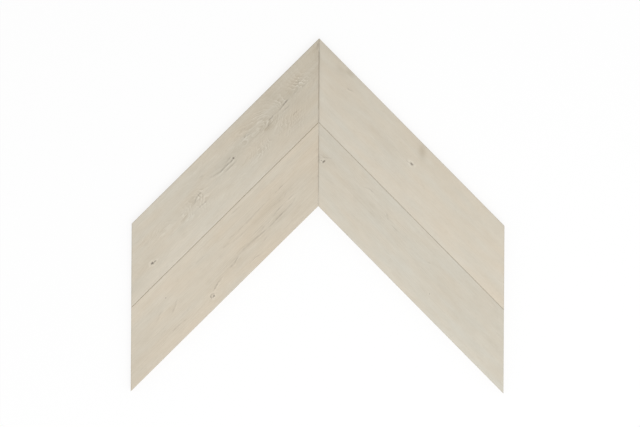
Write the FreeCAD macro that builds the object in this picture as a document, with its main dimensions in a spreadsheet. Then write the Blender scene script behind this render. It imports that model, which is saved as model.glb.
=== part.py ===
"""Chevron wall tile: four pale oak planks that meet in a V.

Two left and two right planks, mirror images of each other, butt along a mitre seam. Each plank is
a parallelogram with a small bevel round its face, and a groove milled round its edges takes the loose
tongues that hold the planks in line. The tile lies on its back with its point towards +Y. The origin is
below the middle of its bounding box, in the plane of the back. Lengths are in millimetres.
"""
import FreeCAD, Part
import math
import os

import Sketcher
from FreeCAD import Vector

OUT_FOLDER = "parts"

SIZES = {
    "plank_width": 90.0,  # across the face, square to the long edges
    "edge_length": 400.0,  # a long edge, from mitre to mitre
    "thickness": 14.0,
    "mitre_angle": 45.0,  # degrees between a long edge and a mitred end
    "face_bevel": 0.6,  # both legs of the bevel round the face
    "groove_height": 4.0,
    "groove_depth": 6.5,
    "face_to_groove": 6.0,  # from the face down to the groove's upper side
    "tongue_play": 0.1,  # between a tongue and each side of its groove
    "tongue_edge_gap": 0.5,  # between a tongue's edge and the bottom of its groove
    "tongue_setback": 20.0,  # from each end of a seam to the end of its tongue
}

RIGHT, LEFT = 1, -1
UPPER, LOWER = 0, 1

# How a sketch names the ends of a line and its own origin
LINE_START, LINE_END = 1, 2
SKETCH_ORIGIN = (-1, 1)

LEVEL_TOLERANCE = 1e-6

# Sizes that follow from the driving ones, as expressions
ANGLE = "(sheet.mitre_angle * 1deg)"
MITRE_LENGTH = f"(sheet.plank_width / sin({ANGLE}))"
TILE_HEIGHT = f"(sheet.edge_length * cos({ANGLE}) + 2 * {MITRE_LENGTH})"
APEX_Y = f"({TILE_HEIGHT} / 2)"
TONGUE_WIDTH = "(2 * (sheet.groove_depth - sheet.tongue_edge_gap))"
GROOVE_FLOOR = "(sheet.thickness - sheet.face_to_groove - sheet.groove_height)"


def add_sheet(doc):
    """The driving dimensions, one named cell each."""
    sheet = doc.addObject("Spreadsheet::Sheet", "sheet")
    for row, (name, value) in enumerate(SIZES.items(), start=1):
        sheet.set(f"A{row}", name)
        sheet.set(f"B{row}", str(value))
        sheet.setAlias(f"B{row}", name)
    doc.recompute()


def add_sketch(body, name, height="0"):
    """A sketch level with the back of the plank, raised by an expression for its height."""
    plane = next(p for p in body.Origin.OriginFeatures if p.Role == "XY_Plane")
    sketch = body.newObject("Sketcher::SketchObject", name)
    sketch.AttachmentSupport = (plane, [""])
    sketch.MapMode = "FlatFace"
    sketch.setExpression("AttachmentOffset.Base.z", height)
    return sketch


def drive(sketch, expression, *constraint):
    """Adds a dimension to a sketch and binds it to an expression."""
    value = sketch.evalExpression(expression)
    index = sketch.addConstraint(Sketcher.Constraint(*constraint, value))
    sketch.setExpression(f"Constraints[{index}]", expression)


def add_outline(sketch, side, inset):
    """Draws the plank's parallelogram with all four sides moved in by an inset, or out if it is negative.

    The plank's upper mitre corner is at the sketch's origin, and the plank runs down to its own side.
    The lines start on the plank's own outline, and the dimensions then move them to the inset.
    """
    sheet = sketch.Document.sheet
    angle = math.radians(sheet.mitre_angle)
    down_mitre = Vector(0, -sheet.plank_width / math.sin(angle))
    along_edge = Vector(side * math.sin(angle), -math.cos(angle)) * sheet.edge_length
    corners = [Vector(), down_mitre, down_mitre + along_edge, along_edge]
    first = sketch.GeometryCount
    mitre, lower_edge, end, upper_edge = range(first, first + len(corners))
    for corner, following in zip(corners, corners[1:] + corners[:1]):
        sketch.addGeometry(Part.LineSegment(corner, following))
    for line, following in [(mitre, lower_edge), (lower_edge, end), (end, upper_edge), (upper_edge, mitre)]:
        sketch.addConstraint(Sketcher.Constraint("Coincident", line, LINE_END, following, LINE_START))
    sketch.addConstraint(Sketcher.Constraint("Vertical", mitre))
    sketch.addConstraint(Sketcher.Constraint("Vertical", end))
    sketch.addConstraint(Sketcher.Constraint("Parallel", lower_edge, upper_edge))

    # The angle is measured anticlockwise, so its two lines change places on a left plank
    rays = [(mitre, LINE_START), (upper_edge, LINE_END)][::side]
    drive(sketch, ANGLE, "Angle", *rays[0], *rays[1])
    drive(sketch, f"sheet.edge_length - 2 * ({inset}) / sin({ANGLE})", "Distance", upper_edge)
    drive(sketch, f"sheet.plank_width - 2 * ({inset})", "Distance", mitre, LINE_END, upper_edge)
    corner_drop = f"-({inset}) * (1 + cos({ANGLE})) / sin({ANGLE})"
    drive(sketch, f"{side} * ({inset})", "DistanceX", *SKETCH_ORIGIN, mitre, LINE_START)
    drive(sketch, corner_drop, "DistanceY", *SKETCH_ORIGIN, mitre, LINE_START)


def edges_at_height(shape, height):
    """The names of a shape's edges that lie level at a height."""
    return [
        f"Edge{i}"
        for i, edge in enumerate(shape.Edges, start=1)
        if all(abs(vertex.Z - height) < LEVEL_TOLERANCE for vertex in edge.Vertexes)
    ]


def add_plank(doc, label, side, row):
    """One plank: a padded parallelogram, the groove round its edges and the bevel round its face."""
    body = doc.addObject("PartDesign::Body", label)
    body.setExpression("Placement.Base.y", f"{APEX_Y} - {row} * {MITRE_LENGTH}")

    outline = add_sketch(body, f"{label}_outline")
    add_outline(outline, side, "0")
    blank = body.newObject("PartDesign::Pad", f"{label}_blank")
    blank.Profile = outline
    blank.setExpression("Length", "sheet.thickness")
    doc.recompute()

    # The groove is a band that lies half inside the plank's outline and half outside it
    band = add_sketch(body, f"{label}_groove_band", "sheet.thickness - sheet.face_to_groove")
    add_outline(band, side, "sheet.groove_depth")
    add_outline(band, side, "-sheet.groove_depth")
    groove = body.newObject("PartDesign::Pocket", f"{label}_groove")
    groove.Profile = band
    groove.setExpression("Length", "sheet.groove_height")
    doc.recompute()
    if groove.Shape.Volume >= blank.Shape.Volume:
        raise RuntimeError(f"the groove of {label} cut nothing")

    bevel = body.newObject("PartDesign::Chamfer", f"{label}_bevel")
    bevel.Base = (groove, edges_at_height(groove.Shape, doc.sheet.thickness))
    bevel.setExpression("Size", "sheet.face_bevel")
    doc.recompute()
    return body


def add_tongue(doc, label, start_y, heading, seam_length):
    """A loose tongue along a seam that starts on the mitre line at a height and leaves it at a heading."""
    tongue = doc.addObject("Part::Box", label)
    tongue.setExpression("Length", f"{seam_length} - 2 * sheet.tongue_setback")
    tongue.setExpression("Width", TONGUE_WIDTH)
    tongue.setExpression("Height", "sheet.groove_height - 2 * sheet.tongue_play")
    half_width = f"{TONGUE_WIDTH} / 2"
    along_x, along_y = f"cos({heading})", f"sin({heading})"
    tongue.Placement.Rotation.Axis = Vector(0, 0, 1)
    tongue.setExpression("Placement.Rotation.Angle", heading)
    tongue.setExpression(
        "Placement.Base.x", f"sheet.tongue_setback * {along_x} + {half_width} * {along_y}"
    )
    tongue.setExpression(
        "Placement.Base.y", f"{start_y} + sheet.tongue_setback * {along_y} - {half_width} * {along_x}"
    )
    tongue.setExpression("Placement.Base.z", f"{GROOVE_FLOOR} + sheet.tongue_play")
    return tongue


def add_planks(doc):
    """The two left and the two right planks."""
    return [
        add_plank(doc, "left_upper_plank", LEFT, UPPER),
        add_plank(doc, "left_lower_plank", LEFT, LOWER),
        add_plank(doc, "right_upper_plank", RIGHT, UPPER),
        add_plank(doc, "right_lower_plank", RIGHT, LOWER),
    ]


def add_tongues(doc):
    """Two tongues between the planks of a pair, and two across the mitre seam."""
    middle = f"({APEX_Y} - {MITRE_LENGTH})"
    down = "-90deg"
    return [
        add_tongue(doc, "left_seam_tongue", middle, f"(-90deg - {ANGLE})", "sheet.edge_length"),
        add_tongue(doc, "right_seam_tongue", middle, f"(-90deg + {ANGLE})", "sheet.edge_length"),
        add_tongue(doc, "upper_mitre_tongue", APEX_Y, down, MITRE_LENGTH),
        add_tongue(doc, "lower_mitre_tongue", middle, down, MITRE_LENGTH),
    ]


def check(doc, pieces):
    """Stops if an object failed to compute or a piece isn't one valid solid."""
    failed = [o.Label for o in doc.Objects if {"Invalid", "Error"} & set(o.State)]
    if failed:
        raise RuntimeError(f"these objects failed: {failed}")
    for piece in pieces:
        shape = piece.Shape
        if shape.isNull() or not shape.isValid() or len(shape.Solids) != 1:
            raise RuntimeError(f"{piece.Label} is not one valid solid")


def main():
    doc = FreeCAD.newDocument("chevron_wall_tile")
    add_sheet(doc)
    pieces = add_planks(doc) + add_tongues(doc)
    doc.recompute()
    check(doc, pieces)
    os.makedirs(OUT_FOLDER, exist_ok=True)
    for piece in pieces:
        piece.Shape.exportStep(os.path.join(OUT_FOLDER, f"{piece.Label}.step"))
        box = piece.Shape.BoundBox
        print(
            f"{piece.Label}: {piece.Shape.Volume / 1000:.2f} cm3, "
            f"x {box.XMin:.2f} to {box.XMax:.2f}, y {box.YMin:.2f} to {box.YMax:.2f}, "
            f"z {box.ZMin:.2f} to {box.ZMax:.2f}"
        )


main()
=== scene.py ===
"""Chevron wall tile: the looks of its four whitewashed oak planks and of the loose tongues between them.

Each plank is a dense mesh of the solid that it stands for, with the brushed grain, the knots and the bevel in
its geometry. A small model of the wood gives every point its place along and across the grain, its growth
ring and its stains, and the materials read those as attributes, together with painted shade at the bevel's
lower edge and beside the mitre seam. The tile's lengths are in metres, and those of the wood and its grain in
millimetres.
"""
import math
from typing import NamedTuple

import bpy
import numpy as np
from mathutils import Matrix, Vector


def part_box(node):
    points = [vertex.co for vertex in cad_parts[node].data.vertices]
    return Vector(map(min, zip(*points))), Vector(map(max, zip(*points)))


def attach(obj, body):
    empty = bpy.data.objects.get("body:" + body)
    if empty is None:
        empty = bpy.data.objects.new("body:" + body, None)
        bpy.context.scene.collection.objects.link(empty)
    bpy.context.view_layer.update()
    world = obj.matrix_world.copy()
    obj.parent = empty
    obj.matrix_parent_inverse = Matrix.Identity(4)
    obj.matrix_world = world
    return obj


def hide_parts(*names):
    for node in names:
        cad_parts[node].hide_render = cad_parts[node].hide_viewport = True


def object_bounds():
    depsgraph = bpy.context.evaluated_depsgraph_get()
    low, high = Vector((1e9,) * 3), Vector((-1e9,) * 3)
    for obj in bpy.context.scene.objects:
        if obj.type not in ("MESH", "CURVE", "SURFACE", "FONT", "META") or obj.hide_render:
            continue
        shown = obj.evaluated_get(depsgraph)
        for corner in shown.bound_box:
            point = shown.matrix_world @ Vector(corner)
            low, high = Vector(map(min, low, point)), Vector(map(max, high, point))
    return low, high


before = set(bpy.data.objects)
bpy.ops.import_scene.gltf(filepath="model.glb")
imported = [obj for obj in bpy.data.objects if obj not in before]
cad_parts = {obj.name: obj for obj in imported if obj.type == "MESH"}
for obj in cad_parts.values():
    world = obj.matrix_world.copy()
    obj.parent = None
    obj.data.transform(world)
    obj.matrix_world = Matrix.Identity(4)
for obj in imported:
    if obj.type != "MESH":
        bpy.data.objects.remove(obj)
cad_low, cad_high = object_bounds()

MM = 0.001

# The plank's mitre, and how the mesh departs from the solid
MITRE_ANGLE = math.radians(45)
SEAM_GAP = 0.05 * MM  # from a plank's edge to the plane in which it meets the next plank
BACK_ARRIS = 0.3 * MM

# How finely the face is divided, and how much finer it is beside a knot
CELLS_ALONG, CELLS_ACROSS = 290, 240
BACK_STEP = 10  # cells of the face to one of the back
KNOT_FINENESS = 4.0
KNOT_FINE_REACH = 7 * MM
GRADING_POINTS = 20  # to a cell, at which the fineness is worked out

# How the levels and places of the solid's corners are told apart
PLACE_DIGITS = 6  # decimals of a metre
SAME_PLACE = 0.1 * MM


class Knot(NamedTuple):
    """A knot in the face."""

    along: float  # mm from the plank's upper mitre corner, along the grain
    across: float  # mm from the plank's upper edge
    radius: float  # mm
    core: float  # darkness of its middle, 0 to 1
    rim: float  # darkness of its edge
    long: float = 1.25  # its length over its width


class Streak(NamedTuple):
    """A thin dark streak, roughly along the grain."""

    path: tuple  # (along, across) points in mm, with along increasing
    width: float  # mm from its middle to where it has faded
    dark: float  # darkness, 0 to 1


class Spot(NamedTuple):
    """A soft spot, in which something is stronger or weaker."""

    along: float  # mm, from the same corner and edge as a knot
    across: float
    length: float  # mm, from the middle to where it has faded by half
    width: float
    amount: float
    turn: float = 0.0  # degrees from along the grain towards the lower edge


class Chip(NamedTuple):
    """A dark chip in a plank's edge at the mitre seam."""

    across: float  # mm from the plank's upper edge
    reach: float  # mm across the grain from its middle to where it has faded
    dark: float  # darkness, 0 to 1


class Plank(NamedTuple):
    """One plank, with its grain and its marks."""

    name: str
    side: int  # 1 on the right of the mitre seam, -1 on its left
    seed: int
    pith: tuple  # (along, across, depth) points in mm, of the middle of the tree below the face
    waver: float  # mm by which the rings wander
    figure: float  # how much the growth rings show all over the plank
    cool: tuple  # from the warmest hue to the coolest, 0 to 1, at the mitre end and at the far end
    painted_edge_shade: float  # how much darker the bevel is painted at its lower edge along the long edges, as shade in the seam
    painted_mitre_shade: float  # and at the mitred ends, where below zero it is painted lighter
    mitre_seam_shade: float  # painted shade beside the mitre seam: how dark it is
    chips: tuple  # dark chips in the edge there
    tan_along: tuple  # change in bare tan from the mitre end to the far end
    tan_across: tuple  # and from the upper edge to the lower edge
    knots: tuple
    streaks: tuple
    smudges: tuple  # spots with more or less bare tan
    patches: tuple  # spots with more figure


class Pattern(NamedTuple):
    """Soft noise in the wood, which differs from plank to plank."""

    mean: float
    swing: float  # how far it goes above and below its mean
    size: tuple  # mm over which it changes along and across the grain
    layer: int  # sets it apart from the plank's other patterns


LEFT, RIGHT = -1, 1

PLANKS = (
    Plank(
        "left_upper_plank", LEFT, 11,
        pith=(
            (0, 24, 90), (66, 25, 70), (140, 32, 48), (210, 38, 36),
            (290, 44, 32), (330, 46, 23), (500, 50, 20),
        ),
        waver=5.0,
        figure=0.35, cool=(0.5, 0.5), painted_edge_shade=0.52, painted_mitre_shade=0.5,
        mitre_seam_shade=0.2, chips=(Chip(18, 5, 0.12), Chip(29, 4, 0.1)),
        tan_along=(0.17, 0.14, 0.04, -0.01, 0.02), tan_across=(0.02, 0.06, 0.02, -0.05),
        knots=(
            Knot(220.2, 37.8, 1.45, 0.8, 0.2), Knot(216.4, 37.9, 0.9, 0.16, 0.1),
            Knot(419.8, 64.9, 2.0, 0.82, 0.2, long=1.4), Knot(415.4, 65.6, 0.9, 0.6, 0.1, long=3.2),
        ),
        streaks=(
            Streak(((6.5, 3.6), (10.3, 6.9), (14, 10.2)), 1.5, 0.3),
            Streak(((48, 37.5), (54, 43.5)), 0.9, 0.2),
            Streak(((59, 34.8), (70, 34.5)), 0.7, 0.16),
            Streak(((64, 21), (72, 27), (78, 32), (86, 33.2)), 0.8, 0.2),
            Streak(((99, 33), (107, 33), (113, 34.4), (122, 35.1)), 0.8, 0.42),
            Streak(((104, 40.4), (118, 40.2)), 0.7, 0.18),
            Streak(((101, 54.6), (114, 54.6)), 0.7, 0.18),
            Streak(((126, 33.8), (133, 34.2), (141, 35.2)), 0.8, 0.28),
            Streak(((131, 41), (141, 40), (151, 41.8)), 1.2, 0.3),
            Streak(((147, 26.8), (153, 24.2), (160, 23.8)), 0.8, 0.18),
            Streak(((173, 30.4), (180, 28.4), (190, 26.4)), 0.8, 0.18),
            Streak(((174, 20.4), (186, 16)), 0.8, 0.16),
            Streak(((175, 49.2), (184, 49.4)), 0.7, 0.14),
            Streak(((222, 33), (229, 34.2), (238, 36.6)), 0.8, 0.22),
            Streak(((220, 37.8), (228, 38.9), (239, 38.4), (250, 38.3)), 0.9, 0.5),
            Streak(((250, 37.8), (258, 36.5), (266, 35.6)), 1.3, 0.16),
            Streak(((220, 43.2), (231, 44.4), (244, 43.6)), 0.9, 0.17),
            Streak(((271, 25.4), (278, 22), (286, 21.6)), 0.8, 0.17),
            Streak(((291, 55.6), (302, 55.4), (312, 55.2)), 0.7, 0.26),
            Streak(((292, 40.2), (300, 40.4), (306, 43), (311, 45.4)), 0.9, 0.26),
            Streak(((330, 42.8), (340, 42.6)), 0.7, 0.16),
            Streak(((346, 46.4), (354, 40), (365, 29)), 0.8, 0.1),
        ),
        smudges=(
            Spot(150, 38, 34, 6, 0.06), Spot(226, 36, 20, 5, 0.13), Spot(10, 8, 9, 6, 0.12),
            Spot(310, 42, 12, 6, 0.07), Spot(440, 64, 16, 8, 0.05), Spot(25, 17, 4, 3, 0.08),
            Spot(150, 42, 8, 4, 0.14), Spot(353, 58, 6, 3.5, 0.11), Spot(368, 54, 4, 3, 0.08),
            Spot(355, 69, 4, 3, 0.07), Spot(89, 27, 9, 6, 0.1), Spot(112, 9, 10, 5, 0.1),
            Spot(92, 50, 10, 7, 0.05), Spot(117, 67, 8, 4, 0.06), Spot(338, 49, 9, 4, 0.04),
            Spot(417, 63, 8, 5, 0.06), Spot(467, 77, 16, 8, 0.06), Spot(172, 20, 10, 4, 0.06),
            Spot(335, 42, 4, 3, 0.1), Spot(418, 54, 8, 4, 0.05), Spot(103, 20, 10, 4, 0.06),
        ),
        patches=(
            Spot(68, 27, 12, 9, 1.6), Spot(112, 29, 9, 6, 2.2), Spot(149, 22, 12, 6, 2.3),
            Spot(143, 40, 13, 6, 2.7), Spot(118, 60, 15, 8, 2.3), Spot(184, 26, 11, 8, 1.4),
            Spot(180, 57, 15, 6, 2.0), Spot(301, 45, 14, 9, 2.2), Spot(334, 48, 9, 6, 1.1),
            Spot(386, 35, 20, 7, 1.4),
        ),
    ),
    Plank(
        "left_lower_plank", LEFT, 23,
        pith=((0, 128, 16), (200, 128, 24), (500, 128, 36)), waver=2.0,
        figure=0.46, cool=(0.24, 0.34), painted_edge_shade=0.52, painted_mitre_shade=-0.08,
        mitre_seam_shade=0.1, chips=(Chip(28.5, 0.9, 0.3), Chip(36.5, 1.2, 0.16), Chip(41, 1.0, 0.2), Chip(57, 1.2, 0.3)),
        tan_along=(0.05, 0.04, 0.01, -0.02, 0.05), tan_across=(-0.02, 0.02, 0.03, 0.01),
        knots=(
            Knot(299.8, 74.2, 2.6, 0.14, 0.5, long=1.1), Knot(298.2, 75.7, 1.3, 0.64, 0.1),
            Knot(295.3, 73.6, 0.8, 0.16, 0.1), Knot(352.5, 26.5, 0.9, 0.45, 0.1),
        ),
        streaks=(
            Streak(((298.4, 71.8), (301.2, 73), (302.6, 74.4), (304, 76.2)), 1.2, 0.4),
            Streak(((104, 29.7), (136, 30.5), (164, 30.6)), 0.6, 0.24),
            Streak(((160, 30.6), (184, 31.2), (203, 31.6), (222, 30)), 1.1, 0.12),
            Streak(((99, 42.5), (115, 42.4)), 0.6, 0.18),
            Streak(((122, 42.9), (134, 42.4), (143, 41)), 0.6, 0.15),
            Streak(((105, 51.3), (126, 50.6), (140, 51.8), (163, 54.7), (180, 55.3)), 0.6, 0.24),
            Streak(((104, 56), (115, 59.8), (146, 59.7), (162, 60.6), (175, 59.4), (198, 58)), 0.8, 0.28),
            Streak(((192, 58.4), (213, 56.6), (226, 55.6)), 2.6, 0.14),
            Streak(((224, 58.2), (235, 60.4), (242, 62.8), (255, 62.4)), 0.8, 0.3),
            Streak(((267, 63.4), (276, 65.4), (284, 66.7), (292, 69)), 0.9, 0.36),
            Streak(((174, 69.2), (186, 69.1)), 0.6, 0.18),
            Streak(((204, 81), (214, 77.4), (226, 78.7)), 0.6, 0.22),
            Streak(((174, 7.8), (186, 6.2), (198, 4.6)), 0.7, 0.18),
            Streak(((188, 39.4), (205, 38.8), (223, 37.3)), 0.6, 0.15),
            Streak(((226, 35.6), (237, 34.2)), 0.7, 0.15),
            Streak(((265, 22), (284, 21.6)), 0.6, 0.14),
            Streak(((342, 41), (350, 44.4), (360, 49)), 1.1, 0.18),
            Streak(((360, 34.6), (372, 36.6), (388, 42)), 1.4, 0.1),
            Streak(((335, 62.8), (358, 62.8)), 1.5, 0.08),
            Streak(((354, 71.4), (379, 69.5)), 0.7, 0.2),
        ),
        smudges=(
            Spot(150, 40, 30, 5, 0.08), Spot(288, 55, 4, 3, 0.1), Spot(455, 60, 14, 9, 0.05),
            Spot(142, 58, 18, 4.5, 0.13), Spot(238, 62, 10, 4, 0.08), Spot(362, 46, 9, 4, 0.08),
            Spot(421, 52, 12, 6, 0.06), Spot(371, 76, 10, 4, 0.08), Spot(185, 59, 16, 4, 0.07),
            Spot(276, 18, 10, 4, -0.08), Spot(155, 47, 9, 3, -0.06), Spot(245, 79, 10, 4, 0.07),
            Spot(246, 41, 8, 4, 0.05), Spot(145, 64.5, 8, 2.5, 0.06), Spot(109, 46, 8, 4, -0.05),
        ),
        patches=(Spot(155, 50, 55, 14, 0.7), Spot(240, 58, 30, 8, 0.5), Spot(380, 66, 36, 9, 0.5)),
    ),
    Plank(
        "right_upper_plank", RIGHT, 37,
        pith=((0, -150, 60), (500, -150, 84)), waver=2.0,
        figure=0.25, cool=(0.56, 0.44), painted_edge_shade=0.3, painted_mitre_shade=0.4,
        mitre_seam_shade=0.22, chips=(Chip(18, 5, 0.1), Chip(52, 4, 0.08)),
        tan_along=(0.05, 0.01, -0.01, -0.01, -0.01), tan_across=(0.03, 0.02, -0.01, -0.04),
        knots=(Knot(234.2, 34.3, 1.7, 0.66, 0.2, long=1.7),),
        streaks=(
            Streak(((84, 23.2), (93, 20.6)), 0.9, 0.18),
            Streak(((225, 36.6), (230, 35.6), (236, 34.4)), 0.7, 0.16),
            Streak(((264, 43.4), (275, 47.4)), 1.3, 0.08),
        ),
        smudges=(
            Spot(232.6, 10, 10, 4.4, 0.3, turn=42), Spot(56, 10, 6, 3, 0.16), Spot(71, 4, 6, 2.8, 0.22),
            Spot(178, 38, 36, 7, 0.06), Spot(393, 69, 14, 6, 0.05), Spot(334, 47, 14, 7, 0.04),
            Spot(196, 47, 12, 5, 0.03), Spot(440, 70, 18, 7, 0.06), Spot(67, 12, 7, 4, 0.05),
            Spot(277, 82, 14, 5, 0.03), Spot(110, 43, 9, 7, 0.03),
        ),
        patches=(Spot(180, 42, 60, 16, 0.25),),
    ),
    Plank(
        "right_lower_plank", RIGHT, 53,
        pith=((0, 210, 50), (500, 210, 80)), waver=2.0,
        figure=0.3, cool=(0.62, 0.76), painted_edge_shade=0.3, painted_mitre_shade=-0.08,
        mitre_seam_shade=0.24, chips=(Chip(36.5, 2.2, 0.3), Chip(41, 1.5, 0.3), Chip(58, 1.0, 0.2)),
        tan_along=(0.05, 0.01, 0.02, 0.055, 0.065), tan_across=(0.01, 0.03, 0.0, -0.05),
        knots=(
            Knot(47.9, 36.6, 2.8, 0.75, 0.15, long=0.52), Knot(44.5, 37.8, 1.1, 0.4, 0.1),
            Knot(303.5, 63.5, 0.8, 0.5, 0.1),
        ),
        streaks=(
            Streak(((37, 32.6), (45, 31.4), (53, 25)), 0.9, 0.12),
            Streak(((113, 24.6), (119, 21.3), (124, 17.2), (136, 15.6)), 0.7, 0.18),
            Streak(((168, 22.6), (173, 25.4), (178, 28.6)), 1.0, 0.22),
            Streak(((190, 31.6), (202, 32.4), (214, 32.8)), 0.7, 0.12),
            Streak(((262, 34.4), (268, 31.6), (274, 28.8)), 1.2, 0.08),
            Streak(((418, 62), (442, 62.4)), 0.7, 0.13),
        ),
        smudges=(
            Spot(150, 35, 40, 7, 0.06), Spot(323, 42, 40, 7, 0.05), Spot(45, 34, 7, 5, 0.12),
            Spot(121, 42, 5, 3, 0.08), Spot(156, 41, 4, 3, 0.07), Spot(313, 24, 6, 3, 0.06),
            Spot(60, 30, 8, 5, 0.05), Spot(175, 27, 7, 4, 0.05), Spot(219, 47, 10, 5, 0.05),
            Spot(385, 58, 12, 6, 0.04), Spot(230, 32, 9, 4, -0.04),
        ),
        patches=(Spot(170, 30, 60, 16, 0.3),),
    ),
)

# The growth rings
RING_WIDTH = 2.0  # mm
RING_WAVER = Pattern(mean=0.0, swing=1.0, size=(52, 17), layer=0)  # mm, for each mm of a plank's waver
RING_RAGGED = Pattern(mean=0.0, swing=0.07, size=(6, 2.2), layer=10)  # rings, for each mm of it
RING_UNEVEN = 0.6  # rings by which a ring is out of place, so that some are wider than others
RING_UNEVEN_RATE = 0.7  # how often that changes in a ring's width
EARLY_WOOD_ENDS = (0.05, 0.6)  # shares of a ring between which its early wood gives way to late wood
EARLY_WOOD_STARTS = (0.9, 1.0)  # and between which the next ring's begins
PATCH_CHANGE = Pattern(mean=0.7, swing=0.6, size=(26, 8), layer=2)  # how the figure comes and goes in a patch
PATCH_FLECKS = Pattern(mean=1.0, swing=0.8, size=(9, 3.2), layer=11)  # and breaks into flecks

# The knots, with lengths in knot radii
KNOT_PUSH = 0.8  # how strongly the grain is pushed aside at a knot's middle, 0 to 1
KNOT_FLOW = (7.0, 3.2)  # how far the push reaches along and across
KNOT_RAGGED = 0.25  # how uneven its outline is
KNOT_RAGGED_CIRCLE = 3  # radius, in steps of the noise, of the circle that gives the unevenness
KNOT_CORE_EDGE = (0.5, 1.1)  # where the dark middle starts to fade, and where it ends
KNOT_RIM_WIDTH = 0.3
KNOT_RIM_CHANGE = Pattern(mean=0.75, swing=0.5, size=(1, 1), layer=4)  # how the rim comes and goes
KNOT_WHITE = 0.2  # how much whiter the face is just round a knot
KNOT_WHITE_RADIUS = 1.8
KNOT_WHITE_WIDTH = 0.6
KNOT_WHITE_CHANGE = Pattern(mean=0.5, swing=0.5, size=(3, 3), layer=9)  # how the white comes and goes

# The streaks
STREAK_SWAYS = (  # mm by which a streak sways across the grain
    Pattern(mean=0.0, swing=0.4, size=(9, 40), layer=5),
    Pattern(mean=0.0, swing=0.5, size=(4, 40), layer=12),
)
STREAK_BREAKS = (  # how its strength comes and goes
    Pattern(mean=0.75, swing=1.0, size=(4.5, 1.2), layer=6),
    Pattern(mean=0.0, swing=0.6, size=(14, 4), layer=13),
)
STREAK_STRENGTHS = (0.05, 1.5)  # the least and the greatest
STREAK_FADE = 9.0  # mm, the longest that an end fades over
STREAK_FADE_PARTS = 3  # an end fades over no more than one of so many parts of the streak
STREAK_WHITE = 0.5  # how much whiter the face is beside a streak, for a streak's darkness
STREAK_WHITE_SHIFT = 2.4  # how far beside it, in streak widths

# The stains, and the painted shade beside the mitre seam
STAIN_DEPTH = 2.0  # mm, how deep they go below the face
SEAM_SHADE_REACH = 1.8  # mm, how far the painted shade reaches from the mitre seam
# how the painted shade at the mitre seam comes and goes
SEAM_SHADE_CHANGE = Pattern(mean=0.7, swing=0.3, size=(40, 5), layer=7)

# The brushed relief, with depths in mm
EARLY_WOOD_DEPTH = 0.07
PORE_DEPTH = 0.06
PORES = Pattern(mean=0.0, swing=1.0, size=(15, 0.95), layer=1)
PORE_EDGE = (0.0, 0.8)  # where in the pattern a pore starts, and where it is deepest
PORES_PLAIN = 0.4  # how open the pores are in wood without figure
PORES_LATE = 0.6  # how open they are in late wood
PORES_EARLY = 0.6  # and how much more in early wood
HAND_DEPTH = 0.05
HAND = Pattern(mean=0.5, swing=0.5, size=(70, 13), layer=3)  # slow unevenness of the brushed face
KNOT_DEPTH = 0.16

BASE_TAN = 0.2  # the share of bare tan on a plain part of the face
GRAIN_SHIFT = 20 * MM  # moves the fine grain of each plank to a place of its own

NOISE_STEPS = 256  # after which the noise repeats


def ease(share):
    """A share from 0 to 1 that starts and ends gently."""
    return share * share * (3 - 2 * share)


def smooth_step(low, high, x):
    """0 below one value and 1 above another, with a gentle rise between them."""
    return ease(np.clip((x - low) / (high - low), 0, 1))


def bell(x):
    """1 at zero, falling smoothly on both sides."""
    return np.exp(-(x**2))


def smooth_noise(x, y, seed):
    """Seeded values between -1 and 1 that change smoothly over steps of one in x and y."""
    table = np.random.default_rng(seed).uniform(-1, 1, (NOISE_STEPS, NOISE_STEPS))
    left, low = np.floor(x).astype(int), np.floor(y).astype(int)
    share_x, share_y = ease(x - left), ease(y - low)

    def at(dx, dy):
        return table[(left + dx) % NOISE_STEPS, (low + dy) % NOISE_STEPS]

    near = at(0, 0) * (1 - share_x) + at(1, 0) * share_x
    far = at(0, 1) * (1 - share_x) + at(1, 1) * share_x
    return near * (1 - share_y) + far * share_y


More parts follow.
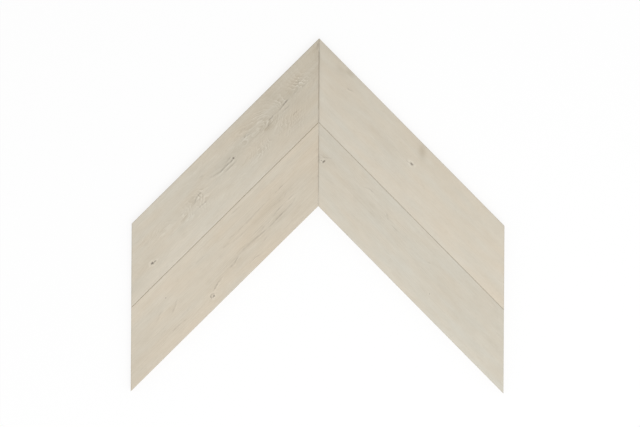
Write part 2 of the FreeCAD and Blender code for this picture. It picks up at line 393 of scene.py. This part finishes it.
class Wood:
    """The wood of one plank at a set of points, given in mm along the grain, across it and below the face."""

    def __init__(self, plank, along, across, depth):
        self.plank, self.along, self.across, self.depth = plank, along, across, depth
        self.flow = self.grain_flow()
        self.ring = self.growth_rings()

    def noise(self, pattern, across=None):
        """A pattern at each point. It follows the fibres, unless another place across the grain is given."""
        length, width = pattern.size
        place = self.flow if across is None else across
        noise = smooth_noise(self.along / length, place / width, self.plank.seed + pattern.layer)
        return pattern.mean + pattern.swing * noise

    def grain_flow(self):
        """The place across the grain, as a fibre runs that is pushed aside by the knots."""
        flow = self.across.copy()
        for knot in self.plank.knots:
            off = self.across - knot.across
            reach_along, reach_across = (knot.radius * share for share in KNOT_FLOW)
            near = bell((self.along - knot.along) / reach_along) * bell(off / reach_across)
            flow -= KNOT_PUSH * off * near
        return flow

    def growth_rings(self):
        """The number of growth rings from the pith, which runs below the face along the plank."""
        plank = self.plank
        along, across, depth = zip(*plank.pith)
        off = self.flow - np.interp(self.along, along, across)
        below = np.interp(self.along, along, depth) - self.depth + plank.waver * self.noise(RING_WAVER)
        rings = np.hypot(off, below) / RING_WIDTH
        uneven = RING_UNEVEN * smooth_noise(RING_UNEVEN_RATE * rings, np.zeros_like(rings), plank.seed)
        return rings + plank.waver * self.noise(RING_RAGGED) + uneven

    def early_wood(self):
        """1 in the soft porous wood at the start of a ring, and 0 in the dense wood further on."""
        share = self.ring % 1
        return (1 - smooth_step(*EARLY_WOOD_ENDS, share)) + smooth_step(*EARLY_WOOD_STARTS, share)

    def spread(self, spots):
        """The sum of some soft spots."""
        total = np.zeros_like(self.along)
        for spot in spots:
            along, across = self.along - spot.along, self.flow - spot.across
            turn = math.radians(spot.turn)
            lengthwise = along * math.cos(turn) + across * math.sin(turn)
            sideways = across * math.cos(turn) - along * math.sin(turn)
            off = np.hypot(lengthwise / spot.length, sideways / spot.width)
            total += spot.amount * np.exp2(-(off**2))
        return total

    def figure(self):
        """How strongly the growth rings show."""
        change = np.clip(self.noise(PATCH_CHANGE), 0, None)
        return self.plank.figure + self.spread(self.plank.patches) * change * self.noise(PATCH_FLECKS)

    def knot_distance(self, knot):
        """The distance from a knot's middle in its radii, with an uneven outline."""
        along, across = (self.along - knot.along) / knot.long, self.across - knot.across
        turn = np.arctan2(across, along)
        circle_along = KNOT_RAGGED_CIRCLE * np.cos(turn) + knot.along
        circle_across = KNOT_RAGGED_CIRCLE * np.sin(turn) + knot.across
        ragged = smooth_noise(circle_along, circle_across, self.plank.seed)
        return np.hypot(along, across) / knot.radius * (1 + KNOT_RAGGED * ragged)

    def knot_dark(self, knot):
        """The darkness of a knot's middle and of its broken rim."""
        off = self.knot_distance(knot)
        core = knot.core * (1 - smooth_step(*KNOT_CORE_EDGE, off))
        rim = knot.rim * self.noise(KNOT_RIM_CHANGE, self.across) * bell((off - 1) / KNOT_RIM_WIDTH)
        return np.maximum(core, rim)

    def streak_dark(self, streak, shift=0.0):
        """A streak's darkness, or that of one moved across the grain by some of its widths."""
        along, across = zip(*streak.path)
        off = self.across - np.interp(self.along, along, across)
        for sway in STREAK_SWAYS:
            off -= self.noise(sway)
        off -= shift * streak.width
        ends = along[0], along[-1]
        fade = min(STREAK_FADE, (ends[1] - ends[0]) / STREAK_FADE_PARTS)
        starts, stops = (smooth_step(end - fade / 2, end + fade / 2, self.along) for end in ends)
        broken = np.clip(sum(self.noise(pattern) for pattern in STREAK_BREAKS), *STREAK_STRENGTHS)
        return streak.dark * bell(off / streak.width) * (starts - stops) * broken

    def seam_shade_and_chips(self):
        """Painted shade and small dark chips along the mitre seam."""
        from_seam = self.along - self.across / math.tan(MITRE_ANGLE)
        level = self.plank.mitre_seam_shade * self.noise(SEAM_SHADE_CHANGE)
        for chip in self.plank.chips:
            level += chip.dark * bell((self.across - chip.across) / chip.reach)
        return level * np.exp(-from_seam / SEAM_SHADE_REACH)

    def dark(self):
        """How dark the knots, the streaks, and the painted shade and chips at the mitre seam make each point,
        from 0 to 1.
        """
        layers = [self.knot_dark(knot) for knot in self.plank.knots]
        layers += [self.streak_dark(streak) for streak in self.plank.streaks]
        layers.append(self.seam_shade_and_chips())
        return np.maximum.reduce(layers) * np.exp(-self.depth / STAIN_DEPTH)

    def tan(self):
        """The share of bare tan that shows through the white wash."""
        plank = self.plank
        tan = BASE_TAN + self.spread(plank.smudges)
        for place, levels in ((self.along, plank.tan_along), (self.across, plank.tan_across)):
            tan += np.interp(place, np.linspace(0, place.max(), len(levels)), levels)
        white = KNOT_WHITE * self.noise(KNOT_WHITE_CHANGE)
        for knot in plank.knots:
            tan -= white * bell((self.knot_distance(knot) - KNOT_WHITE_RADIUS) / KNOT_WHITE_WIDTH)
        for streak in plank.streaks:
            tan -= STREAK_WHITE * self.streak_dark(streak, STREAK_WHITE_SHIFT)
        return tan

    def relief(self):
        """How far the brushed face lies below its highest level, in mm."""
        early = self.early_wood()
        fall = EARLY_WOOD_DEPTH * np.clip(self.figure(), 0, 1) * early
        openness = (PORES_PLAIN + self.plank.figure) * (PORES_LATE + PORES_EARLY * early)
        fall += PORE_DEPTH * openness * smooth_step(*PORE_EDGE, self.noise(PORES))
        fall += HAND_DEPTH * self.noise(HAND)
        for knot in self.plank.knots:
            fall += KNOT_DEPTH * knot.core * bell(self.knot_distance(knot))
        return fall


class PlankSolid:
    """A CAD plank's sizes, read from its node, and the way from the grain's directions to the tile's."""

    def __init__(self, plank):
        low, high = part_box(plank.name)
        points = np.array([vertex.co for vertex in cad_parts[plank.name].data.vertices])
        levels = np.unique(points[:, 2].round(PLACE_DIGITS))
        groove_low, groove_high, bevel_low, self.face = levels[1:]
        in_groove = abs(points[:, 2] - groove_low) < SAME_PLACE
        from_seam = np.unique(abs(points[in_groove, 0]).round(PLACE_DIGITS))
        groove_depth = from_seam[from_seam > SAME_PLACE][0]
        self.bevel = self.face - bevel_low
        self.edge = (high.x - low.x) / math.sin(MITRE_ANGLE)
        self.width = (high.y - low.y - self.edge * math.cos(MITRE_ANGLE)) * math.sin(MITRE_ANGLE)
        self.side, self.corner_y = plank.side, high.y

        # Insets and heights of the profile, from the bevel's lower edge round the groove to the back
        self.profile = [
            (SEAM_GAP, bevel_low + SEAM_GAP),
            (SEAM_GAP, groove_high),
            (groove_depth, groove_high),
            (groove_depth, groove_low),
            (SEAM_GAP, groove_low),
            (SEAM_GAP, BACK_ARRIS),
            (SEAM_GAP + BACK_ARRIS, 0.0),
        ]

    def along_across(self, p, q, inset):
        """Lengths along and across the grain at shares p and q of a plank whose sides are moved in."""
        across = inset + q * (self.width - 2 * inset)
        end = inset / math.sin(MITRE_ANGLE)
        along = end + p * (self.edge - 2 * end) + across / math.tan(MITRE_ANGLE)
        return along, across

    def points(self, along, across, height):
        """Points of the tile from lengths along and across the grain and a height."""
        x = self.side * (along * math.sin(MITRE_ANGLE) - across * math.cos(MITRE_ANGLE))
        y = self.corner_y - along * math.cos(MITRE_ANGLE) - across * math.sin(MITRE_ANGLE)
        return np.column_stack([x, y, height])


def border(rows):
    """The border of a grid of vertex numbers, as one ring."""
    return np.concatenate([rows[:-1, 0], rows[-1, :-1], rows[:0:-1, -1], rows[0, :0:-1]])


def end_of_ring(p):
    """1 for each side of a border ring that lies on a mitred end, and 0 for one on a long edge."""
    following = np.roll(p, -1)
    return ((p == following) & ((p == 0) | (p == 1))).astype(float)


class PlankGrid:
    """The numbers of a plank's vertices: its face, the rings of its profile below that, and its back."""

    def __init__(self, shape, ring_count):
        self.face = np.arange(math.prod(shape)).reshape(shape)
        self.rim = border(self.face)
        below = self.face.size + np.arange(ring_count * self.rim.size)
        self.rings = below.reshape(ring_count, self.rim.size)

        # The back has wider cells than the face, and the last ring is its border
        self.back_lines = [np.arange(0, count, BACK_STEP) for count in shape]
        self.inner = np.ix_(*(lines[1:-1] for lines in self.back_lines))
        self.back = np.full(shape, -1)
        self.back.ravel()[self.rim] = self.rings[-1]
        inner_shape = self.back[self.inner].shape
        self.back[self.inner] = below[-1] + 1 + np.arange(math.prod(inner_shape)).reshape(inner_shape)

    def face_cells(self):
        """The cells of the face."""
        face = self.face
        corners = [face[:-1, :-1], face[1:, :-1], face[1:, 1:], face[:-1, 1:]]
        return np.stack(corners, axis=-1).reshape(-1, len(corners))

    def wall_cells(self):
        """The cells of the bevel and of each wall below it."""
        rings = [self.rim, *self.rings]
        return [
            np.stack([upper, lower, np.roll(lower, -1), np.roll(upper, -1)], axis=-1)
            for upper, lower in zip(rings, rings[1:])
        ]

    def back_cells(self):
        """The triangles of the back, as a fan in each of its wide cells.

        A fan starts from the cell's vertex with the highest number, which is never on the border.
        """
        faces = []
        lines_along, lines_across = self.back_lines
        for i, next_i in zip(lines_along, lines_along[1:]):
            for j, next_j in zip(lines_across, lines_across[1:]):
                walk = [(i, b) for b in range(j, next_j)]
                walk += [(a, next_j) for a in range(i, next_i)]
                walk += [(next_i, b) for b in range(next_j, j, -1)]
                walk += [(a, j) for a in range(next_i, i, -1)]
                cell = [int(self.back[place]) for place in walk if self.back[place] >= 0]
                start = cell.index(max(cell))
                hub, *others = cell[start:] + cell[:start]
                faces += [[hub, *side] for side in zip(others, others[1:])]
        return faces


def graded(count, length, centres):
    """Shares from 0 to 1 of a length in so many steps, which are finer near the given centres."""
    fine = np.linspace(0, length, GRADING_POINTS * count)
    density = np.ones_like(fine)
    for centre in centres:
        density += KNOT_FINENESS * bell((fine - centre) / KNOT_FINE_REACH)
    total = np.concatenate([[0], np.cumsum((density[1:] + density[:-1]) / 2)])
    return np.interp(np.linspace(0, total[-1], count + 1), total, fine) / length


def face_shares(plank, solid):
    """Shares of a plank's edge and width at the lines of its face, which are closer beside a knot."""
    slant = 1 / math.tan(MITRE_ANGLE)
    knots_along = [(knot.along - knot.across * slant) * MM for knot in plank.knots]
    knots_across = [knot.across * MM for knot in plank.knots]
    shares_along = graded(CELLS_ALONG, solid.edge, knots_along)
    shares_across = graded(CELLS_ACROSS, solid.width, knots_across)
    return np.meshgrid(shares_along, shares_across, indexing="ij")


def plank_places(plank, solid, grid, p, q):
    """Lengths along and across the grain and heights of a plank's vertices, in the order of their numbers."""
    along, across = solid.along_across(p.ravel(), q.ravel(), solid.bevel)
    face_wood = Wood(plank, along / MM, across / MM, np.zeros(p.size))
    parts = [(along, across, solid.face - face_wood.relief() * MM)]
    rim = p.ravel()[grid.rim], q.ravel()[grid.rim]
    inner = p[grid.inner].ravel(), q[grid.inner].ravel()
    levels = [(rim, *level) for level in solid.profile]
    levels.append((inner, *solid.profile[-1]))
    for shares, inset, height in levels:
        along, across = solid.along_across(*shares, inset)
        parts.append((along, across, np.full(along.size, height)))
    return [np.concatenate(values) for values in zip(*parts)]


def plank_mesh(plank):
    """A closed mesh of a plank with its brushed face, bevel, groove and back, and the wood as attributes."""
    solid = PlankSolid(plank)
    p, q = face_shares(plank, solid)
    grid = PlankGrid(p.shape, len(solid.profile))
    along, across, height = plank_places(plank, solid, grid, p, q)
    top, walls = grid.face_cells(), grid.wall_cells()
    faces = np.concatenate([top, *walls]).tolist() + grid.back_cells()
    if plank.side == RIGHT:
        faces = [face[::-1] for face in faces]
    mesh = bpy.data.meshes.new(plank.name.replace("plank", "oak"))
    mesh.from_pydata(solid.points(along, across, height).tolist(), [], faces)

    # Only the face and its bevel are washed white
    numbers = np.arange(len(faces))
    washed = len(top) + len(walls[0])
    mesh.polygons.foreach_set("use_smooth", numbers < len(top))
    mesh.polygons.foreach_set("material_index", (numbers >= washed).astype(np.int32))

    # The bevel's lower edge gets painted shade, and the mitred ends show end grain
    wood = Wood(plank, along / MM, across / MM, (solid.face - height) / MM)
    at_end = end_of_ring(p.ravel()[grid.rim])
    tan = wood.tan()
    # painted shade: the bevel's lower edge is made darker, or lighter where the value is below zero, to stand
    # in for the shade in the seam
    tan[grid.rings[0]] += np.where(at_end, plank.painted_mitre_shade, plank.painted_edge_shade)
    wall_ends = np.tile(at_end, len(walls))
    end_grain = np.zeros(len(faces))
    end_grain[len(top):len(top) + wall_ends.size] = wall_ends

    grain = np.column_stack([along, wood.flow * MM, height]) + plank.seed * GRAIN_SHIFT
    add_attribute(mesh, "grain", "POINT", grain)
    add_attribute(mesh, "ring", "POINT", wood.ring)
    add_attribute(mesh, "tan", "POINT", tan)
    add_attribute(mesh, "dark", "POINT", wood.dark())
    add_attribute(mesh, "figure", "POINT", wood.figure())
    add_attribute(mesh, "cool", "POINT", np.interp(along, (0, along.max()), plank.cool))
    add_attribute(mesh, "end_grain", "FACE", end_grain)
    mesh.validate()
    mesh.update()
    return mesh


def add_attribute(mesh, name, domain, values):
    """Stores a number or a vector for each point or face of a mesh."""
    is_vector = values.ndim == 2
    attribute = mesh.attributes.new(name, "FLOAT_VECTOR" if is_vector else "FLOAT", domain)
    field = "vector" if is_vector else "value"
    attribute.data.foreach_set(field, values.astype(np.float32).ravel())


class Grain(NamedTuple):
    """Fine noise that a material adds to the wood."""

    size: tuple  # mm along, across and through the grain
    detail: float  # how many layers of finer noise it has


class MaskSum(NamedTuple):
    """A sum of masks from 0 to 1, each times a weight, and of a base."""

    weights: dict
    base: float = 0.0


class Shader:
    """The nodes of a material or of the world, with short ways to add and join them."""

    def __init__(self, owner):
        owner.use_nodes = True
        self.nodes = owner.node_tree.nodes
        self.links = owner.node_tree.links

    def fill(self, node, inputs):
        """Fills a node's inputs, by name or number, from sockets or plain values."""
        for name, value in inputs.items():
            if isinstance(value, bpy.types.NodeSocket):
                self.links.new(value, node.inputs[name])
            else:
                node.inputs[name].default_value = value

    def add(self, kind, inputs, **settings):
        """Adds a node and fills its inputs."""
        node = self.nodes.new(f"ShaderNode{kind}")
        for name, value in settings.items():
            setattr(node, name, value)
        self.fill(node, inputs)
        return node

    def surface(self, inputs):
        """Fills the inputs of a material's surface."""
        self.fill(self.nodes["Principled BSDF"], inputs)

    def attribute(self, name, output="Fac"):
        return self.add("Attribute", {}, attribute_name=name).outputs[output]

    def math(self, operation, *values):
        return self.add("Math", dict(enumerate(values)), operation=operation).outputs[0]

    def times(self, a, b):
        return self.math("MULTIPLY", a, b)

    def total(self, *values):
        """The sum of several sockets or numbers."""
        result = values[0]
        for value in values[1:]:
            result = self.math("ADD", result, value)
        return result

    def mask_sum(self, masks, parts):
        """The sum that some weights and a base make of named masks."""
        terms = [self.times(masks[name], weight) for name, weight in parts.weights.items()]
        return self.total(*terms, parts.base)

    def swing(self, value, amount):
        """A value from 0 to 1 as a change to both sides of zero, an amount wide in all."""
        return self.times(self.total(value, -0.5), amount)

    def steps(self, place, size):
        """A place counted in steps of a size in mm along, across and through the grain."""
        rates = [1 / (length * MM) for length in size]
        return self.add("VectorMath", {0: place, 1: rates}, operation="MULTIPLY").outputs[0]

    def noise(self, place, grain):
        """Noise from 0 to 1."""
        inputs = {"Vector": self.steps(place, grain.size), "Scale": 1.0, "Detail": grain.detail}
        return self.add("TexNoise", inputs).outputs["Fac"]

    def ramp(self, value, stops):
        """A curve through (place, level) stops from 0 to 1."""
        node = self.add("ValToRGB", {"Fac": value})
        elements = node.color_ramp.elements
        for place, _ in stops[len(elements):]:
            elements.new(place)
        for element, (place, level) in zip(elements, stops):
            element.position = place
            element.color = (level, level, level, 1)
        return node.outputs["Color"]

    def mix(self, factor, a, b):
        """A colour between two others, each a socket or red, green and blue."""
        node = self.add("Mix", {"Factor": factor}, data_type="RGBA")
        numbers = {socket.identifier: number for number, socket in enumerate(node.inputs)}
        for name, value in (("A_Color", a), ("B_Color", b)):
            colour = value if isinstance(value, bpy.types.NodeSocket) else (*value, 1)
            self.fill(node, {numbers[name]: colour})
        return next(socket for socket in node.outputs if socket.identifier == "Result_Color")

    def bump(self, height, depth):
        """A normal for a height from 0 to 1 that stands for a depth in metres."""
        return self.add("Bump", {"Height": height, "Distance": depth}).outputs["Normal"]


# The fine grain of all oak
FIBRE = Grain((34, 1.3, 1.3), detail=4.0)
FIBRE_WAVER = 0.35  # rings by which the fibres make the growth rings uneven
EARLY_WOOD_CURVE = ((0.0, 0.9), (0.12, 1.0), (0.5, 0.15), (0.94, 0.0), (1.0, 0.9))
FINE_PORES = Grain((9, 0.22, 0.22), detail=1.0)
FINE_PORE_CURVE = ((0.55, 0.0), (0.66, 1.0))
FINE_PORE_STRENGTH = MaskSum({"early": 0.7}, base=0.3)


def grain_masks(shader):
    """The place in the grain, and masks of the fibres, a growth ring, its early wood and the pores."""
    grain = shader.attribute("grain", "Vector")
    masks = {"fibre": shader.noise(grain, FIBRE)}
    ring = shader.total(shader.attribute("ring"), shader.times(masks["fibre"], FIBRE_WAVER))
    masks["ring"] = shader.math("FRACT", ring)
    masks["early"] = shader.ramp(masks["ring"], EARLY_WOOD_CURVE)
    pores = shader.ramp(shader.noise(grain, FINE_PORES), FINE_PORE_CURVE)
    masks["pores"] = shader.times(pores, shader.mask_sum(masks, FINE_PORE_STRENGTH))
    return grain, masks


# The washed face, with its colours as linear light
WARM_WASH = (0.722, 0.632, 0.506)
COOL_WASH = (0.686, 0.665, 0.587)
BARE_TAN = (0.36, 0.30, 0.21)
# the brown of the knots and streaks, which also gives the painted shade at the mitre seam
STAIN_AND_SHADE_BROWN = (0.100, 0.082, 0.066)
HUE = Grain((70, 16, 16), detail=1.0)
HUE_CHANGE = 0.9  # how far the hue goes from warm to cool within a plank

# Across one ring the wash first lies white in the open wood, then the dense wood shows darker
RING_SHADE_CURVE = ((0.0, 0.5), (0.1, 0.05), (0.22, 0.1), (0.38, 1.0), (0.62, 0.7), (1.0, 0.5))

# How much the share of bare tan changes
RING_TAN = 0.29  # across a ring, where the figure is full
FIBRE_TAN = MaskSum({"figure": 0.42}, base=0.06)  # between the fibres
CLOUDS = Grain((140, 13, 13), detail=3.0)
CLOUD_TAN = 0.12
MOTTLE = Grain((30, 9, 9), detail=2.0)
MOTTLE_TAN = 0.17
PORE_TAN = 0.18  # from plain wood to a pore

WASH_ROUGHNESS = MaskSum({"fibre": 0.16, "pores": 0.2}, base=0.48)
WASH_SPECULAR = 0.3
WASH_RELIEF = MaskSum({"fibre": 0.5, "pores": -0.6})
WASH_RELIEF_DEPTH = 0.06 * MM


def washed_oak():
    """Brushed oak under a thin matte white wash, which lets the grain, the knots and the streaks show."""
    material = bpy.data.materials.new("washed_oak")
    shader = Shader(material)
    grain, masks = grain_masks(shader)
    masks["figure"] = shader.attribute("figure")
    ring_shade = shader.ramp(masks["ring"], RING_SHADE_CURVE)
    tan = shader.total(
        shader.attribute("tan"),
        shader.times(shader.swing(ring_shade, masks["figure"]), RING_TAN),
        shader.swing(masks["fibre"], shader.mask_sum(masks, FIBRE_TAN)),
        shader.swing(shader.noise(grain, CLOUDS), CLOUD_TAN),
        shader.swing(shader.noise(grain, MOTTLE), MOTTLE_TAN),
        shader.times(masks["pores"], PORE_TAN),
    )
    hue = shader.swing(shader.noise(grain, HUE), HUE_CHANGE)
    wash = shader.mix(shader.total(shader.attribute("cool"), hue), WARM_WASH, COOL_WASH)
    washed = shader.mix(tan, wash, BARE_TAN)
    shader.surface({
        # the dark attribute brings the knots, the streaks and the painted shade at the mitre seam
        "Base Color": shader.mix(shader.attribute("dark"), washed, STAIN_AND_SHADE_BROWN),
        "Roughness": shader.mask_sum(masks, WASH_ROUGHNESS),
        "Specular IOR Level": WASH_SPECULAR,
        "Normal": shader.bump(shader.mask_sum(masks, WASH_RELIEF), WASH_RELIEF_DEPTH),
    })
    return material


# The bare wood of the edges, the groove and the back, and its end grain
RAW_PALE = (0.56, 0.41, 0.255)
RAW_DARK = (0.33, 0.205, 0.108)
END_DARK = (0.20, 0.12, 0.062)
RAYS = Grain((2.4, 1.6, 20), detail=2.0)
VESSEL_SIZE = (0.3, 0.3, 0.3)  # mm
VESSEL_CURVE = ((0.18, 1.0), (0.34, 0.0))
VESSEL_STRENGTH = MaskSum({"early": 0.8}, base=0.1)
CUTTER_STEP = 1.4 * MM  # between the marks of the cutter along the grain
RAW_ROUGHNESS = MaskSum({"fibre": 0.2}, base=0.6)
RAW_SPECULAR = 0.25
RAW_RELIEF_DEPTH = 0.08 * MM

# How dark and how high the masks make a surface cut along the grain, and one cut across it
LONG_SHADE = MaskSum({"early": 0.18, "fibre": 0.6, "pores": 0.35, "rays": 0.12}, base=-0.2)
LONG_RELIEF = MaskSum({"fibre": 0.5, "pores": -0.5, "chatter": 0.12})
END_SHADE = MaskSum({"early": 0.35, "vessels": 0.6, "rays": 0.3})
END_RELIEF = MaskSum({"vessels": -1.0})


def raw_oak():
    """Bare milled oak on the edges, in the groove and on the back, with end grain on the mitred ends."""
    material = bpy.data.materials.new("raw_oak")
    shader = Shader(material)
    grain, masks = grain_masks(shader)
    masks["rays"] = shader.noise(grain, RAYS)
    cells = shader.add("TexVoronoi", {"Vector": shader.steps(grain, VESSEL_SIZE), "Scale": 1.0})
    vessels = shader.ramp(cells.outputs["Distance"], VESSEL_CURVE)
    masks["vessels"] = shader.times(vessels, shader.mask_sum(masks, VESSEL_STRENGTH))
    along = shader.add("SeparateXYZ", {0: grain}).outputs["X"]
    masks["chatter"] = shader.math("SINE", shader.times(along, 2 * math.pi / CUTTER_STEP))

    end = shader.attribute("end_grain")
    long_colour = shader.mix(shader.mask_sum(masks, LONG_SHADE), RAW_PALE, RAW_DARK)
    end_colour = shader.mix(shader.mask_sum(masks, END_SHADE), RAW_DARK, END_DARK)
    relief = shader.mix(end, shader.mask_sum(masks, LONG_RELIEF), shader.mask_sum(masks, END_RELIEF))
    shader.surface({
        "Base Color": shader.mix(end, long_colour, end_colour),
        "Roughness": shader.mask_sum(masks, RAW_ROUGHNESS),
        "Specular IOR Level": RAW_SPECULAR,
        "Normal": shader.bump(relief, RAW_RELIEF_DEPTH),
    })
    return material


# The plywood of the tongues
PLY_PALE = (0.60, 0.44, 0.27)
PLY_DARK = (0.40, 0.26, 0.14)
PLY_THICKNESS = 1.27 * MM
PLY_FIBRE = Grain((25, 0.8, 0.8), detail=4.0)
PLY_MIDDLE_CURVE = ((0.4, 0.0), (0.6, 0.6))
PLY_SHADE = MaskSum({"fibre": 0.7, "middle": 1.0}, base=-0.15)
PLY_RELIEF_DEPTH = 0.05 * MM


def birch_plywood(grain_angle):
    """Three-ply birch for a tongue that runs at an angle, with the middle ply darker on its edges."""
    material = bpy.data.materials.new("birch_plywood")
    shader = Shader(material)
    place = shader.add("TexCoord", {}).outputs["Object"]
    turned = shader.add("VectorRotate", {"Vector": place, "Angle": -grain_angle}, rotation_type="Z_AXIS")
    height = shader.add("SeparateXYZ", {0: place}).outputs["Z"]
    ply = shader.math("PINGPONG", shader.times(height, 1 / PLY_THICKNESS), 1.0)
    masks = {
        "fibre": shader.noise(turned.outputs[0], PLY_FIBRE),
        "middle": shader.ramp(ply, PLY_MIDDLE_CURVE),
    }
    shader.surface({
        "Base Color": shader.mix(shader.mask_sum(masks, PLY_SHADE), PLY_PALE, PLY_DARK),
        "Roughness": shader.mask_sum(masks, RAW_ROUGHNESS),
        "Normal": shader.bump(masks["fibre"], PLY_RELIEF_DEPTH),
    })
    return material


def add_object(name, data):
    """A new object in the scene."""
    thing = bpy.data.objects.new(name, data)
    bpy.context.scene.collection.objects.link(thing)
    return thing


def add_planks():
    """The four planks, each in place of its solid."""
    materials = [washed_oak(), raw_oak()]
    for plank in PLANKS:
        mesh = plank_mesh(plank)
        for material in materials:
            mesh.materials.append(material)
        piece = add_object(mesh.name, mesh)
        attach(piece, "root")
        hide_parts(plank.name)


def dress_tongues():
    """Plywood on the tongues, with its grain along each of them."""
    headings = {
        "left_seam_tongue": -math.pi / 2 - MITRE_ANGLE,
        "right_seam_tongue": -math.pi / 2 + MITRE_ANGLE,
        "upper_mitre_tongue": -math.pi / 2,
        "lower_mitre_tongue": -math.pi / 2,
    }
    for name, heading in headings.items():
        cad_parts[name].material_slots[0].material = birch_plywood(heading)


# The camera looks straight down. The photo's scale, its middle on the tile and its slight turn were measured
PHOTO_WIDTH = 640  # px
PIXEL_SIZE = 1.517 * MM
PHOTO_MIDDLE = (2.8 * MM, 2.9 * MM)
PHOTO_TURN = math.radians(0.34)
LENS, SENSOR = 85.0, 36.0  # mm

FLOOR_SIZE = 40.0
FLOOR_DROP = 0.2 * MM  # below the tile's back
FLOOR_COLOUR = (0.98, 0.98, 0.98, 1)
FLOOR_GLOW = 0.86  # the share of plain white in what the camera sees of the floor

WORLD_COLOUR = (1, 1, 1, 1)
WORLD_LIGHT = 0.62  # its strength where it lights the tile
WORLD_SEEN = 1.0  # and where the camera sees it
KEY_PLACE = (0.5, -1.1, 2.4)
KEY_SIZE = 1.8
KEY_POWER = 34.0  # W


def seen_directly(shader):
    """1 for a ray from the camera, or one that a mirror or glass passes on, and 0 for the rays that light."""
    path = shader.add("LightPath", {})
    seen = path.outputs["Is Camera Ray"]
    for name in ("Is Glossy Ray", "Is Transmission Ray"):
        seen = shader.math("MAXIMUM", seen, path.outputs[name])
    return seen


def add_floor():
    """A white floor under the tile that keeps the tile's soft shadow."""
    half, height = FLOOR_SIZE / 2, cad_low[2] - FLOOR_DROP
    corners = [(-half, -half, height), (half, -half, height), (half, half, height), (-half, half, height)]
    mesh = bpy.data.meshes.new("floor")
    mesh.from_pydata(corners, [], [tuple(range(len(corners)))])

    material = bpy.data.materials.new("white_floor")
    shader = Shader(material)
    shader.nodes.remove(shader.nodes["Principled BSDF"])
    diffuse = shader.add("BsdfDiffuse", {"Color": FLOOR_COLOUR})
    glow = shader.add("Emission", {})
    share = shader.times(seen_directly(shader), FLOOR_GLOW)
    mix = shader.add("MixShader", {"Fac": share, 1: diffuse.outputs[0], 2: glow.outputs[0]})
    shader.fill(shader.nodes["Material Output"], {"Surface": mix.outputs[0]})
    mesh.materials.append(material)
    floor = add_object("floor", mesh)


def add_light():
    """A white world, and one large soft lamp above the open side of the V."""
    world = bpy.data.worlds.new("studio")
    bpy.context.scene.world = world
    shader = Shader(world)
    levels = {"Value": seen_directly(shader), "To Min": WORLD_LIGHT, "To Max": WORLD_SEEN}
    strength = shader.add("MapRange", levels).outputs[0]
    shader.fill(shader.nodes["Background"], {"Color": WORLD_COLOUR, "Strength": strength})

    lamp = bpy.data.lights.new("key", "AREA")
    lamp.shape = "DISK"
    lamp.size = KEY_SIZE
    lamp.energy = KEY_POWER
    key = add_object("key", lamp)
    key.location = KEY_PLACE
    x, y, z = KEY_PLACE
    key.rotation_euler = (math.atan2(math.hypot(x, y), z), 0, math.atan2(y, x) + math.pi / 2)


def add_camera():
    """A long lens straight above the tile."""
    data = bpy.data.cameras.new("camera")
    data.lens, data.sensor_width = LENS, SENSOR
    camera = add_object("camera", data)
    distance = PHOTO_WIDTH * PIXEL_SIZE * LENS / SENSOR
    camera.location = (*PHOTO_MIDDLE, cad_high[2] + distance)
    camera.rotation_euler = (0, 0, PHOTO_TURN)
    bpy.context.scene.camera = camera


add_planks()
dress_tongues()
add_floor()
add_light()
add_camera()
bpy.context.scene.view_settings.view_transform = "Standard"
